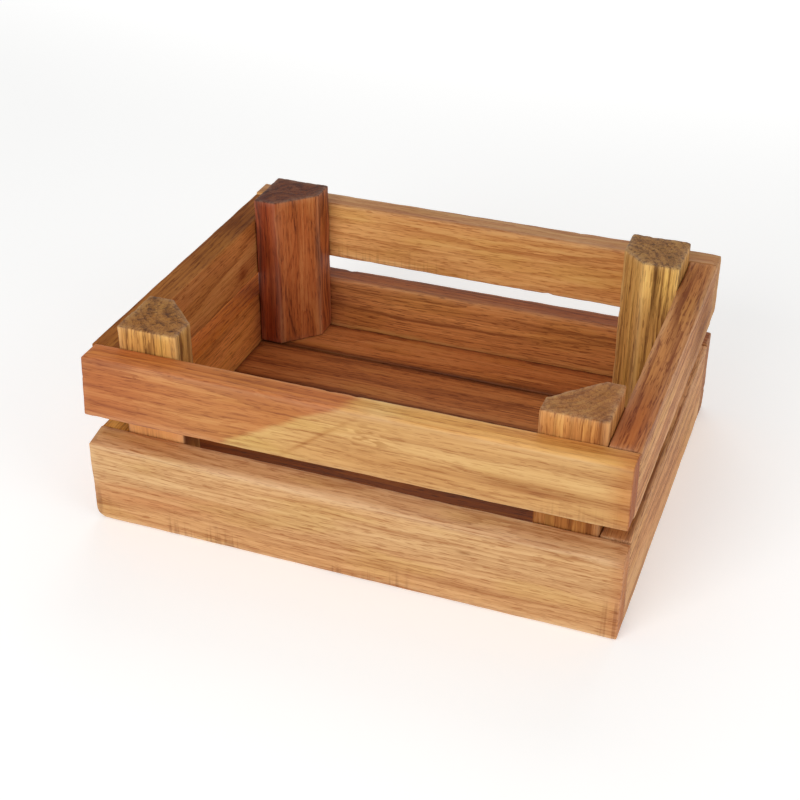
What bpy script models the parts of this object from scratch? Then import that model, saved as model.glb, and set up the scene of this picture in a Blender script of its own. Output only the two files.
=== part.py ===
"""Shallow slatted wooden crate, free standing. Sizes are in metres and +Z is up.

The origin is the middle of the footprint, on the surface that the crate stands on. X runs along
the long slats and Y from the front to the back.

Four corner posts with a cut inner edge stand on a floor of lengthwise boards. Each wall is a tall
lower slat and a shorter upper one with a finger gap between them. The long slats cover the ends of
the end slats, and the posts rise a little above the top slats. Thin brads, set just under the
surface, hold the slats to the posts and the floor boards to the lower slats.
"""
from math import radians

import bmesh
import bpy
from mathutils import Vector

# Driving dimensions: the walls
CRATE_LENGTH = 0.400
CRATE_DEPTH = 0.317
LOWER_SLAT_HEIGHT = 0.070
SLAT_GAP = 0.021
UPPER_SLAT_HEIGHT = 0.0515
LONG_SLAT_THICKNESS = 0.020
END_SLAT_THICKNESS = 0.022

# Driving dimensions: the corner posts, whose inner edges are cut by hand, not all by the same amount
POST_WIDTH = 0.047
POST_DEPTH = 0.050
POST_RISE = 0.0165
FRONT_LEFT_CUT = 0.027
FRONT_RIGHT_CUT = 0.033
BACK_LEFT_CUT = 0.027
BACK_RIGHT_CUT = 0.0185

# Driving dimensions: the floor
FLOOR_TOP = 0.025
FLOOR_THICKNESS = 0.018
OUTER_BOARD_WIDTH = 0.046
INNER_BOARD_COUNT = 3
BOARD_SEAM = 0.0022

# Driving dimensions: the brads
BRAD_LENGTH = 0.038
BRAD_DIAMETER = 0.0018
BRAD_HEAD_DIAMETER = 0.0030
BRAD_HEAD_HEIGHT = 0.0012
BRAD_TIP_LENGTH = 0.0030
BRAD_SET_DEPTH = 0.0005
BRAD_STAGGER = 0.006
FLOOR_BRAD_SPACING = 0.200
BRAD_SIDES = 8

# Driving dimensions: finish and fit
EDGE_ROUNDING = 0.0015
ROUNDING_STEPS = 2
ROUNDED_ABOVE_ANGLE = radians(30)
CLEARANCE = 0.0003

# Derived sizes
WALL_HEIGHT = LOWER_SLAT_HEIGHT + SLAT_GAP + UPPER_SLAT_HEIGHT
INSIDE_LENGTH = CRATE_LENGTH - 2 * END_SLAT_THICKNESS
INSIDE_DEPTH = CRATE_DEPTH - 2 * LONG_SLAT_THICKNESS
POST_FOOT = FLOOR_TOP + CLEARANCE
POST_HEIGHT = WALL_HEIGHT + POST_RISE - POST_FOOT
FLOOR_LENGTH = INSIDE_LENGTH - 2 * CLEARANCE
FLOOR_DEPTH = INSIDE_DEPTH - 2 * CLEARANCE
FLOOR_MIDDLE = FLOOR_TOP - FLOOR_THICKNESS / 2
INNER_FIELD = FLOOR_DEPTH - 2 * OUTER_BOARD_WIDTH - 2 * BOARD_SEAM
INNER_BOARD_WIDTH = (INNER_FIELD - (INNER_BOARD_COUNT - 1) * BOARD_SEAM) / INNER_BOARD_COUNT

# Each slat's bottom edge and height, and the band of it that has a post behind it
TIERS = {
    "lower": (0.0, LOWER_SLAT_HEIGHT),
    "upper": (LOWER_SLAT_HEIGHT + SLAT_GAP, UPPER_SLAT_HEIGHT),
}
NAILED_BANDS = {
    "lower": (POST_FOOT, LOWER_SLAT_HEIGHT),
    "upper": (LOWER_SLAT_HEIGHT + SLAT_GAP, WALL_HEIGHT),
}
LONG_WALLS = {"front": -1, "back": 1}
END_WALLS = {"left": -1, "right": 1}
POST_CUTS = {
    ("front", "left"): FRONT_LEFT_CUT,
    ("front", "right"): FRONT_RIGHT_CUT,
    ("back", "left"): BACK_LEFT_CUT,
    ("back", "right"): BACK_RIGHT_CUT,
}

# Finishes: sRGB colour, roughness and metallic value
FINISHES = {
    "front_slat_wood": ((0.80, 0.58, 0.33), 0.55, 0.0),
    "back_slat_wood": ((0.76, 0.50, 0.26), 0.55, 0.0),
    "end_slat_wood": ((0.70, 0.46, 0.28), 0.58, 0.0),
    "post_wood": ((0.72, 0.52, 0.29), 0.62, 0.0),
    "floor_wood": ((0.60, 0.37, 0.21), 0.60, 0.0),
    "brad_steel": ((0.50, 0.47, 0.43), 0.45, 0.9),
}


def clear_scene():
    """Remove every object, so that the script always starts from nothing."""
    for thing in list(bpy.data.objects):
        bpy.data.objects.remove(thing, do_unlink=True)


def linear(channel):
    """Turn one sRGB channel into the linear value that a shader takes."""
    if channel <= 0.04045:
        return channel / 12.92
    return ((channel + 0.055) / 1.055) ** 2.4


def make_finish(name):
    """One Principled material from the table of finishes."""
    colour, roughness, metallic = FINISHES[name]
    material = bpy.data.materials.new(name)
    material.use_nodes = True
    shader = material.node_tree.nodes["Principled BSDF"]
    shader.inputs["Base Color"].default_value = (*map(linear, colour), 1.0)
    shader.inputs["Roughness"].default_value = roughness
    shader.inputs["Metallic"].default_value = metallic
    return material


def place(name, mesh, location, parent, material=None):
    """Put a mesh into the scene as a named object under the crate's empty."""
    thing = bpy.data.objects.new(name, mesh)
    bpy.context.scene.collection.objects.link(thing)
    thing.parent = parent
    thing.location = location
    if material:
        mesh.materials.append(material)
    return thing


def finish_mesh(shape, name):
    """Close a bmesh with its faces pointing out and hand it over as a mesh."""
    bmesh.ops.recalc_face_normals(shape, faces=shape.faces)
    mesh = bpy.data.meshes.new(name)
    shape.to_mesh(mesh)
    shape.free()
    return mesh


def round_edges(thing):
    """Break the sawn edges of a board or post."""
    rounding = thing.modifiers.new("rounded_edges", "BEVEL")
    rounding.width = EDGE_ROUNDING
    rounding.segments = ROUNDING_STEPS
    rounding.limit_method = "ANGLE"
    rounding.angle_limit = ROUNDED_ABOVE_ANGLE


def make_board(name, size, centre, parent, material):
    """A straight board of the given size, with rounded edges."""
    shape = bmesh.new()
    bmesh.ops.create_cube(shape, size=1.0)
    bmesh.ops.scale(shape, vec=size, verts=shape.verts)
    board = place(name, finish_mesh(shape, name), centre, parent, material)
    round_edges(board)
    return board


def make_post(name, x_side, y_side, cut, parent, material):
    """A corner post: square outside, with its inner edge cut off at 45 degrees."""
    width = POST_WIDTH - CLEARANCE
    depth = POST_DEPTH - CLEARANCE
    outline = (
        (0.0, 0.0),
        (width, 0.0),
        (width, depth - cut),
        (width - cut, depth),
        (0.0, depth),
    )
    shape = bmesh.new()
    corners = [shape.verts.new((-x_side * x, -y_side * y, 0.0)) for x, y in outline]
    foot = shape.faces.new(corners)
    raised = bmesh.ops.extrude_face_region(shape, geom=[foot])
    top_corners = [item for item in raised["geom"] if isinstance(item, bmesh.types.BMVert)]
    bmesh.ops.translate(shape, vec=(0.0, 0.0, POST_HEIGHT), verts=top_corners)
    outer_corner = (
        x_side * (INSIDE_LENGTH / 2 - CLEARANCE),
        y_side * (INSIDE_DEPTH / 2 - CLEARANCE),
        POST_FOOT,
    )
    post = place(name, finish_mesh(shape, name), outer_corner, parent, material)
    round_edges(post)
    return post


def turned_brad(shape, grow=0.0, rise=0.0):
    """Spin a brad's profile about Z, head at the top and point down, into a bmesh.

    A bore is the same shape grown all round, with its head carried up through the surface.
    """
    shank = BRAD_DIAMETER / 2 + grow
    head = BRAD_HEAD_DIAMETER / 2 + grow
    under_head = -BRAD_HEAD_HEIGHT - grow
    point = -BRAD_LENGTH - grow
    profile = (
        (0.0, rise),
        (head, rise),
        (head, under_head),
        (shank, under_head),
        (shank, point + BRAD_TIP_LENGTH),
        (0.0, point),
    )
    line = [shape.verts.new((radius, 0.0, height)) for radius, height in profile]
    edges = [shape.edges.new(pair) for pair in zip(line, line[1:])]
    bmesh.ops.spin(
        shape, geom=line + edges, cent=(0, 0, 0), axis=(0, 0, 1), angle=radians(360),
        steps=BRAD_SIDES, use_merge=True,
    )
    bmesh.ops.remove_doubles(shape, verts=shape.verts, dist=CLEARANCE / 10)


def drive_brad(name, head_point, inward, parent, material):
    """One brad, pointing inward, with its head set just under the surface."""
    shape = bmesh.new()
    turned_brad(shape)
    mesh = finish_mesh(shape, name)
    mesh.shade_smooth()
    mesh.set_sharp_from_angle(angle=ROUNDED_ABOVE_ANGLE)
    brad = place(name, mesh, head_point + inward * BRAD_SET_DEPTH, parent, material)
    brad.rotation_mode = "QUATERNION"
    brad.rotation_quaternion = Vector((0, 0, -1)).rotation_difference(inward)
    return brad


def bore_for_brads(piece, brads, parent):
    """Cut a piece with a slightly larger copy of each brad that enters it."""
    shape = bmesh.new()
    for brad in brads:
        bore = bmesh.new()
        turned_brad(bore, grow=CLEARANCE, rise=2 * BRAD_SET_DEPTH)
        turn = brad.rotation_quaternion.to_matrix().to_4x4()
        turn.translation = brad.location
        bore.transform(turn)
        bore_mesh = finish_mesh(bore, "bore")
        shape.from_mesh(bore_mesh)
        bpy.data.meshes.remove(bore_mesh)
    cutter = place(f"{piece.name}_bores", finish_mesh(shape, f"{piece.name}_bores"), (0, 0, 0), parent)
    cutter.hide_render = True
    cutter.display_type = "WIRE"
    cut = piece.modifiers.new("brad_bores", "BOOLEAN")
    cut.operation = "DIFFERENCE"
    cut.solver = "EXACT"
    cut.object = cutter


def make_slats(parent, finishes):
    """Two slats on each wall. The end slats fit between the long ones."""
    slats = {}
    for tier, (bottom, height) in TIERS.items():
        middle = bottom + height / 2
        for wall, side in LONG_WALLS.items():
            size = (CRATE_LENGTH, LONG_SLAT_THICKNESS, height)
            centre = (0.0, side * (CRATE_DEPTH - LONG_SLAT_THICKNESS) / 2, middle)
            finish = finishes[f"{wall}_slat_wood"]
            slats[wall, tier] = make_board(f"slat_{wall}_{tier}", size, centre, parent, finish)
        for wall, side in END_WALLS.items():
            size = (END_SLAT_THICKNESS, INSIDE_DEPTH - 2 * CLEARANCE, height)
            centre = (side * (CRATE_LENGTH - END_SLAT_THICKNESS) / 2, 0.0, middle)
            finish = finishes["end_slat_wood"]
            slats[wall, tier] = make_board(f"slat_{wall}_{tier}", size, centre, parent, finish)
    return slats


def make_posts(parent, finishes):
    """A post in each corner, named by its long wall and its end."""
    posts = {}
    for wall, y_side in LONG_WALLS.items():
        for end, x_side in END_WALLS.items():
            name = f"post_{wall}_{end}"
            cut = POST_CUTS[wall, end]
            posts[wall, end] = make_post(name, x_side, y_side, cut, parent, finishes["post_wood"])
    return posts


def make_floor(parent, finishes):
    """Lengthwise boards, front to back: narrower ones outside, equal ones between them."""
    widths = [OUTER_BOARD_WIDTH] + [INNER_BOARD_WIDTH] * INNER_BOARD_COUNT + [OUTER_BOARD_WIDTH]
    boards = []
    front_edge = -FLOOR_DEPTH / 2
    for number, width in enumerate(widths, start=1):
        size = (FLOOR_LENGTH, width, FLOOR_THICKNESS)
        centre = (0.0, front_edge + width / 2, FLOOR_MIDDLE)
        boards.append(make_board(f"floor_board_{number}", size, centre, parent, finishes["floor_wood"]))
        front_edge += width + BOARD_SEAM
    return boards


def nail_walls(slats, posts, parent, material):
    """Two brads at each end of each slat, into the post behind it.

    Those of the end slats sit lower by the stagger, so that they pass clear of the long slats' brads.
    """
    fixings = []
    post_x = INSIDE_LENGTH / 2 - POST_WIDTH / 2
    post_y = INSIDE_DEPTH / 2 - POST_DEPTH / 2
    for tier, (low, high) in NAILED_BANDS.items():
        quarter = (high - low) / 4
        for row, height in enumerate((low + quarter, high - quarter), start=1):
            long_height = height + BRAD_STAGGER / 2
            end_height = height - BRAD_STAGGER / 2
            for wall, y_side in LONG_WALLS.items():
                for end, x_side in END_WALLS.items():
                    post = posts[wall, end]
                    head = Vector((x_side * post_x, y_side * CRATE_DEPTH / 2, long_height))
                    name = f"brad_{wall}_{tier}_{end}_{row}"
                    brad = drive_brad(name, head, Vector((0, -y_side, 0)), parent, material)
                    fixings.append((brad, slats[wall, tier], post))
                    head = Vector((x_side * CRATE_LENGTH / 2, y_side * post_y, end_height))
                    name = f"brad_{end}_{tier}_{wall}_{row}"
                    brad = drive_brad(name, head, Vector((-x_side, 0, 0)), parent, material)
                    fixings.append((brad, slats[end, tier], post))
    return fixings


def nail_floor(slats, boards, parent, material):
    """Brads through the lower slats: into both ends of each inner board, and into the outer edges."""
    fixings = []
    for end, x_side in END_WALLS.items():
        for board in boards[1:-1]:
            head = Vector((x_side * CRATE_LENGTH / 2, board.location.y, FLOOR_MIDDLE))
            brad = drive_brad(f"brad_{end}_{board.name}", head, Vector((-x_side, 0, 0)), parent, material)
            fixings.append((brad, slats[end, "lower"], board))
        for wall, y_side in LONG_WALLS.items():
            board = boards[0] if wall == "front" else boards[-1]
            head = Vector((x_side * FLOOR_BRAD_SPACING / 2, y_side * CRATE_DEPTH / 2, FLOOR_MIDDLE))
            brad = drive_brad(f"brad_{end}_{board.name}", head, Vector((0, -y_side, 0)), parent, material)
            fixings.append((brad, slats[wall, "lower"], board))
    return fixings


def build_crate():
    """Make every piece, then bore each one for the brads that enter it."""
    clear_scene()
    crate = bpy.data.objects.new("crate", None)
    bpy.context.scene.collection.objects.link(crate)
    finishes = {name: make_finish(name) for name in FINISHES}
    slats = make_slats(crate, finishes)
    posts = make_posts(crate, finishes)
    boards = make_floor(crate, finishes)
    fixings = nail_walls(slats, posts, crate, finishes["brad_steel"])
    fixings += nail_floor(slats, boards, crate, finishes["brad_steel"])
    for piece in (*slats.values(), *posts.values(), *boards):
        entering = [brad for brad, *held in fixings if piece in held]
        bore_for_brads(piece, entering, crate)


build_crate()
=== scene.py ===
# %% [markdown]
# # A shallow slatted crate, dressed board by board
# The crate is nailed together from sawn and oiled hardwood. It could be drawn as plain boxes with a
# picture of wood on them, but such boxes look machine made and show seams at their edges. The packed
# model gives every board's true size and place, so this lesson never moves anything: it measures each
# packed board, builds a weathered board in the same place, and paints it with a wood that runs right
# through the timber.

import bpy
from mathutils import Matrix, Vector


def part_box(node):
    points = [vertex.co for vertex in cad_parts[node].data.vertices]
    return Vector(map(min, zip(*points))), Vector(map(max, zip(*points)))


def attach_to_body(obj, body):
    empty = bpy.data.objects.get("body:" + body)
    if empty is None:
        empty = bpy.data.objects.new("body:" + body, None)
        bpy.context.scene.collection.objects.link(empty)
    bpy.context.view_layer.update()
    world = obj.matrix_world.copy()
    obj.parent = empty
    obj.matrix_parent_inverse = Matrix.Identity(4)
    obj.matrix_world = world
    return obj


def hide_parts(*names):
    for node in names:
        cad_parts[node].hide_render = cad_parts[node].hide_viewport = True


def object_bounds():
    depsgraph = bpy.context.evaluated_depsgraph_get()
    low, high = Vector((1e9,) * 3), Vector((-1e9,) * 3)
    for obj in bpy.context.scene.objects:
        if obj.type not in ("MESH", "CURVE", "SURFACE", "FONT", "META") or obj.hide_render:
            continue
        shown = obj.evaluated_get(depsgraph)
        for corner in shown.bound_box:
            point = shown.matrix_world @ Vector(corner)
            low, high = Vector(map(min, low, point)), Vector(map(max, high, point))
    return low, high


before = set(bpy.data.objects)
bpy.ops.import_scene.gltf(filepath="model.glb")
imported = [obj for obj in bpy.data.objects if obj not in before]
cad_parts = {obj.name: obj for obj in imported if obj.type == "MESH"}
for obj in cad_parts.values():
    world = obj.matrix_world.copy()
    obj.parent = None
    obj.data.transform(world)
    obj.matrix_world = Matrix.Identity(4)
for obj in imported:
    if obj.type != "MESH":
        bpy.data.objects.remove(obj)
cad_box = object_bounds()
print("packed nodes:", len(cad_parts), "box:", [tuple(round(v, 4) for v in c) for c in cad_box])

# %% [markdown]
# ## Tools for the whole lesson
# Blender brings bpy for objects, bmesh for editing a mesh, and mathutils for vectors and noise. The
# boards could be made with those alone, but each has thousands of points, and numpy moves all of them
# at once.

# %% Import the modelling tools
import math

import bmesh
import bpy
import numpy as np
from mathutils import Matrix, Vector, noise

MM = 0.001
print("Blender", bpy.app.version_string)

# %% [markdown]
# ## The camera
# The photograph looks down on the crate from the front, a little from the right. A camera could be
# aimed with a constraint, but that would lose the small roll of the photograph. Here the angles and the
# focal length were fitted to the crate's corners, with the crate's origin at a known pixel, so a plain
# matrix places the camera and it needs no shift.

# %% The view of the photograph
PHOTO_SIZE = 800
FOCAL_PIXELS = 1451.6
VIEW_AZIMUTH = math.radians(20.24)
VIEW_ELEVATION = math.radians(32.35)
VIEW_ROLL = math.radians(-0.20)
ORIGIN_PIXEL = (417.3, 457.8)
ORIGIN_DEPTH = 1.1664
SENSOR_WIDTH = 36.0
print("the crate's origin lies", ORIGIN_DEPTH, "m from the camera, at pixel", ORIGIN_PIXEL)

# %% Place the camera


def camera_matrix():
    """Where the camera stands and how it is turned."""
    flat = math.cos(VIEW_ELEVATION)
    back = Vector((math.sin(VIEW_AZIMUTH) * flat, -math.cos(VIEW_AZIMUTH) * flat, math.sin(VIEW_ELEVATION)))
    level = Vector((math.cos(VIEW_AZIMUTH), math.sin(VIEW_AZIMUTH), 0.0))
    level_up = back.cross(level)
    right = level * math.cos(VIEW_ROLL) - level_up * math.sin(VIEW_ROLL)
    up = back.cross(right)
    across, below = ((pixel - PHOTO_SIZE / 2) * ORIGIN_DEPTH / FOCAL_PIXELS for pixel in ORIGIN_PIXEL)
    turned = Matrix((right, up, back)).transposed().to_4x4()
    turned.translation = back * ORIGIN_DEPTH - right * across + up * below
    return turned


camera = bpy.data.objects.new("camera", bpy.data.cameras.new("camera"))
bpy.context.scene.collection.objects.link(camera)
camera.matrix_world = camera_matrix()
camera.data.sensor_width = SENSOR_WIDTH
camera.data.lens = FOCAL_PIXELS / PHOTO_SIZE * SENSOR_WIDTH
bpy.context.scene.camera = camera
print("camera at", [round(v, 3) for v in camera.matrix_world.translation], "lens", round(camera.data.lens, 1))

# %% [markdown]
# ## Shader maths as Python
# A wood is mostly arithmetic on distances. It could be wired up Math node by Math node, but that is hard
# to read, so a small class wraps a socket and turns each operator into a Math node. The reflected forms
# make 1 - mask work as well as mask - 1.

# %% A socket with arithmetic


def pick(sockets, key):
    """Find a socket by its number, its identifier or its name."""
    if isinstance(key, int):
        return sockets[key]
    named = [s for s in sockets if s.identifier == key] or [s for s in sockets if s.name == key]
    return named[0]


class Flow:
    """One output socket, with arithmetic that adds Math nodes."""

    def __init__(self, finish, socket):
        self.finish = finish
        self.socket = socket

    def other(self, key):
        """Another output of the same node."""
        return Flow(self.finish, pick(self.socket.node.outputs, key))

    def math(self, operation, *values):
        """One Math node, this socket first."""
        return self.finish.maths(operation, self, *values)

    def __add__(self, value):
        return self.math("ADD", value)

    def __sub__(self, value):
        return self.math("SUBTRACT", value)

    def __rsub__(self, value):
        return self.finish.maths("SUBTRACT", value, self)

    def __mul__(self, value):
        return self.math("MULTIPLY", value)

    def __truediv__(self, value):
        return self.math("DIVIDE", value)

    def __rtruediv__(self, value):
        return self.finish.maths("DIVIDE", value, self)

    def __pow__(self, value):
        return self.math("POWER", value)

    def __rpow__(self, value):
        return self.finish.maths("POWER", value, self)

    def __neg__(self):
        return self * -1.0

    __radd__ = __add__
    __rmul__ = __mul__


print("sockets can be added, subtracted, multiplied, divided and raised to a power")

# %% [markdown]
# A finish is one material with its nodes. Each kind of node could have a helper of its own, but one
# method can make them all: it sets the node's settings first, because some of them decide which sockets
# the node has, and then gives each socket a value or a link.

# %% A material that makes its nodes


class Finish:
    """A material with one method that makes its nodes."""

    def __init__(self, name):
        self.material = bpy.data.materials.new(name)
        self.material.use_nodes = True
        self.tree = self.material.node_tree
        self.surface = self.tree.nodes["Principled BSDF"]

    def feed(self, socket, value):
        """Link a socket, or set its own value."""
        if isinstance(value, Flow):
            self.tree.links.new(value.socket, socket)
        elif socket.type == "RGBA":
            socket.default_value = (*value, 1.0)
        else:
            socket.default_value = value

    def set_stops(self, ramp, stops):
        """Give a ramp its positions and colours."""
        while len(ramp.elements) < len(stops):
            ramp.elements.new(1.0)
        for element, (position, colour) in zip(ramp.elements, stops):
            element.position = position
            element.color = (*colour, 1.0)

    def node(self, kind, settings, sockets, output=0):
        """Make a node, set it up, feed it and give back one of its outputs."""
        made = self.tree.nodes.new(kind)
        for key, value in settings.items():
            if key == "stops":
                self.set_stops(made.color_ramp, value)
            else:
                setattr(made, key, value)
        for key, value in sockets.items():
            self.feed(pick(made.inputs, key), value)
        return Flow(self, pick(made.outputs, output))

    def maths(self, operation, *values):
        """One Math node on values and sockets."""
        return self.node("ShaderNodeMath", {"operation": operation}, dict(enumerate(values)))

    def wear(self, sockets):
        """Feed the Principled shader and give back the material."""
        for key, value in sockets.items():
            self.feed(pick(self.surface.inputs, key), value)
        return self.material


print("a finish makes its nodes with one method")

# %% [markdown]
# Four nodes turn up in almost every step of a finish: one that lays a colour over another, one that
# makes a soft step, one that reads a number from the mesh, and one that splits a place into its three
# directions. Short names for them keep the steps readable.

# %% Nodes that every finish needs


def lay(finish, kind, amount, under, over):
    """Lay one colour over another."""
    settings = {"data_type": "RGBA", "blend_type": kind}
    sockets = {"Factor_Float": amount, "A_Color": under, "B_Color": over}
    return finish.node("ShaderNodeMix", settings, sockets, "Result_Color")


def step(finish, value, low, high):
    """A soft step from 0 at low to 1 at high."""
    sockets = {"Value": value, "From Min": low, "From Max": high}
    return finish.node("ShaderNodeMapRange", {"interpolation_type": "SMOOTHSTEP"}, sockets, "Result")


def mark(finish, name):
    """Read a number that the mesh holds at each point."""
    settings = {"attribute_name": name, "attribute_type": "GEOMETRY"}
    return finish.node("ShaderNodeAttribute", settings, {}, "Fac")


def split(finish, place):
    """The three directions of a place: along the grain, through the board and up its broad face."""
    along = finish.node("ShaderNodeSeparateXYZ", {}, {"Vector": place}, "X")
    return along, along.other("Y"), along.other("Z")


print("short names: lay, step, mark and split")

# %% [markdown]
# ## Colours of the timber
# The boards come from different parts of the log. Sapwood is straw yellow, heartwood runs from clay
# red to a dark russet. One colour with noise on it would do from afar, but a ramp is closer to real wood.
# Each timber is three colours, as they look on screen: its deep grain lines, its body, and its pale
# grain.

# %% Timbers
TIMBERS = {
    "straw": ((168, 115, 69), (203, 159, 109), (220, 181, 131)),
    "wheat": ((161, 107, 58), (198, 152, 95), (217, 176, 117)),
    "clay": ((136, 72, 38), (179, 110, 61), (198, 136, 82)),
    "honey": ((190, 123, 66), (231, 172, 104), (245, 199, 129)),
    "amber": ((160, 98, 46), (205, 142, 77), (224, 170, 98)),
    "russet": ((140, 76, 38), (198, 122, 66), (216, 150, 90)),
    "rust": ((149, 88, 45), (212, 141, 79), (231, 170, 104)),
    "chestnut": ((148, 80, 40), (209, 129, 70), (226, 158, 95)),
    "umber": ((151, 86, 44), (205, 133, 75), (222, 159, 97)),
    "ember": ((162, 92, 42), (226, 146, 74), (238, 168, 94)),
    "rose": ((150, 92, 58), (216, 159, 108), (231, 185, 134)),
    "oxblood": ((98, 38, 19), (157, 68, 32), (182, 94, 48)),
    # Painted shade: a dark brown for the floor board that lies in the front wall's shade.
    "shade_walnut": ((88, 42, 16), (146, 74, 24), (170, 98, 38)),
    "tawny": ((120, 58, 30), (190, 107, 56), (210, 136, 80)),
    "mustard": ((134, 88, 42), (210, 156, 84), (228, 182, 106)),
}
print("timbers:", ", ".join(TIMBERS))

# %% Timber ramps
TONE_STOPS = (0.12, 0.50, 0.85)


def on_screen(colour):
    """Turn a colour as seen on screen, 0 to 255, into linear light."""
    shares = (channel / 255 for channel in colour)
    return tuple(c / 12.92 if c <= 0.04045 else ((c + 0.055) / 1.055) ** 2.4 for c in shares)


def timber_ramp(finish, timber, tone):
    """The colour of a timber, from its deep lines at a low tone to its pale grain at a high one."""
    stops = list(zip(TONE_STOPS, map(on_screen, TIMBERS[timber])))
    return finish.node("ShaderNodeValToRGB", {"stops": stops}, {"Fac": tone}, "Color")


print("straw's body in linear light:", [round(c, 3) for c in on_screen(TIMBERS["straw"][1])])

# %% [markdown]
# ## Wood that runs through the board
# A picture of wood wrapped round a box shows seams at the edges. Here the colour is worked out from the
# place inside the board instead: rings round a pith that lies outside the board, wandering as the
# trunk did, with fibres drawn out along the grain. The faces then show long grain and the ends show
# arcs, with no seam anywhere. Each pattern adds a number of its own to the board's seed, so that no two
# patterns fall on the same places.

# %% Noise along the grain
SEED_STEPS = (3.1, 7.7, 5.3)
GRAIN_ROUGHNESS = 0.55


def stretched_noise(finish, place, waves, seed, detail=2.0):
    """Noise drawn out along the grain. Waves per metre along X, Y and Z."""
    sockets = {0: place, 1: waves, 2: tuple(seed * shift for shift in SEED_STEPS)}
    drawn = finish.node("ShaderNodeVectorMath", {"operation": "MULTIPLY_ADD"}, sockets)
    sockets = {"Vector": drawn, "Scale": 1.0, "Detail": detail, "Roughness": GRAIN_ROUGHNESS}
    return finish.node("ShaderNodeTexNoise", {"noise_dimensions": "3D"}, sockets, "Fac")


def patches(finish, place, waves, seed, edges, detail=1.0):
    """Patches of noise: 0 below the first edge, 1 above the second."""
    return step(finish, stretched_noise(finish, place, waves, seed, detail), *edges)


print("each seed moves the noise by", SEED_STEPS)

# %% Growth rings
WANDER_WAVES = (3.5, 14, 14)
SWAY_WAVES = (5.0, 20, 20)


def growth_rings(finish, place, look, seed):
    """How many rings lie between the pith and this place."""
    _, y, z = split(finish, place)
    wander = stretched_noise(finish, place, WANDER_WAVES, seed + 1) - 0.5
    sway = stretched_noise(finish, place, SWAY_WAVES, seed + 2) - 0.5
    across = y - look["pith"][0] * MM + wander * look["wander"] * MM
    upward = z - look["pith"][1] * MM + sway * look["wander"] * MM
    radius = (across * across + upward * upward) ** 0.5
    return radius / (look["ring"] * MM)


print("rings wander over about", round(1 / WANDER_WAVES[0], 2), "m of the trunk")

# %% [markdown]
# ## A look for every board
# No two boards of the crate are alike, and a separate material for each would repeat the same nodes
# seventeen times. So one finish paints them all, and a small table of words and numbers makes each board
# its own. This is the table of a plain board; the real boards change only what differs. Lengths are in
# millimetres from the middle of the board: X along the grain, Y through it, Z up its broad face.

# %% The look of a plain board
PLAIN_LOOK = {
    "heart": "honey", "sap": "straw", "sap_line": None,
    "pith": (70, 25), "ring": 5.5, "wander": 26,
    "banding": 0.7, "fibre": 0.9, "dash": 16, "streak": 0.8, "pores": 0.26,
    "stains_and_painted_light": (), "dark_streaks": 0.0, "streaks_from": None, "saw": 0.5,
    "top_tint_and_painted_light": (0.92, 0.80, 0.72), "end_tint": (0.72, 0.68, 0.62), "ledge_shade": None,
    "rub_and_highlight": 0.10, "gloss": 0.22,
    "edge": 1.7, "worn_corners": {}, "lift": (0.0, 0.0), "sag": (0.0, 0.0), "bevel": 0.0, "end_cut": 0.0,
}
print("a plain board is", PLAIN_LOOK["heart"], "with rings", PLAIN_LOOK["ring"], "mm apart")

# %% [markdown]
# ### Grain
# Up close the wood is several patterns at once: bands of rings, long streaks, fine fibres, the dark late
# wood that closes each ring, and short open pores. One noise with much detail would blur them together,
# so each pattern has its own stretch, and one number, the tone, adds them up.

# %% Grain patterns
FIBRE_FINENESS, FIBRE_DETAIL = 560, 4.0
STREAK_WAVES = (3.0, 95, 95)
BANDS_PER_RING, BAND_DETAIL, BAND_ROUGHNESS = 0.55, 3.0, 0.6
FIBRE_IN_RINGS = 0.5
LATE_SHARPNESS = 4.0
LATE_SHADE = 0.20
PORE_WAVES = (90, 1150, 1150)
PORE_EDGES = (0.55, 0.66)


def grain_patterns(finish, place, look, seed):
    """The patterns of the grain, and the tone that they add up to."""
    rings = growth_rings(finish, place, look, seed)
    fibre_waves = (look["dash"], FIBRE_FINENESS, FIBRE_FINENESS)
    fibre = stretched_noise(finish, place, fibre_waves, seed + 4, FIBRE_DETAIL)
    streak = stretched_noise(finish, place, STREAK_WAVES, seed + 5)
    sockets = {
        "W": rings * BANDS_PER_RING + seed, "Scale": 1.0, "Detail": BAND_DETAIL, "Roughness": BAND_ROUGHNESS,
    }
    band = finish.node("ShaderNodeTexNoise", {"noise_dimensions": "1D"}, sockets, "Fac")
    late = (rings + fibre * FIBRE_IN_RINGS).math("FRACT") ** LATE_SHARPNESS
    pores = patches(finish, place, PORE_WAVES, seed + 6, PORE_EDGES)
    tone = 0.5 + (band - 0.5) * look["banding"] + (fibre - 0.5) * look["fibre"]
    tone = tone + (streak - 0.5) * look["streak"] - late * LATE_SHADE - pores * look["pores"]
    return {"fibre": fibre, "streak": streak, "late": late, "pores": pores, "tone": tone}


print("fibres are about", round(1 / FIBRE_FINENESS / MM, 1), "mm apart")

# %% [markdown]
# ### Heartwood, sapwood and slow drifts
# Some boards are cut where sapwood meets heartwood. The border is a ragged plane through the timber, so
# it slants over a face and carries on over the edge, which a painted border would not do. The oil has
# also drifted in broad patches, towards brown and towards olive.

# %% Timber colour
RAGGED_WAVES = (14, 90, 110)
RAGGED_REACH = 20 * MM
DRIFTS = (
    ((5, 22, 22), 11, (0.40, 0.66), 0.55, (0.95, 0.84, 0.74)),
    ((11, 48, 48), 12, (0.48, 0.66), 0.60, (0.95, 0.98, 0.80)),
)


def sapwood(finish, place, look, seed):
    """1 on the sapwood side of a plane through the board, 0 on the heartwood side."""
    direction, offset, softness = look["sap_line"]
    sockets = {0: place, 1: direction}
    past = finish.node("ShaderNodeVectorMath", {"operation": "DOT_PRODUCT"}, sockets, "Value")
    ragged = stretched_noise(finish, place, RAGGED_WAVES, seed + 3) - 0.5
    return step(finish, past + ragged * RAGGED_REACH, (offset - softness) * MM, (offset + softness) * MM)


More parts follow.
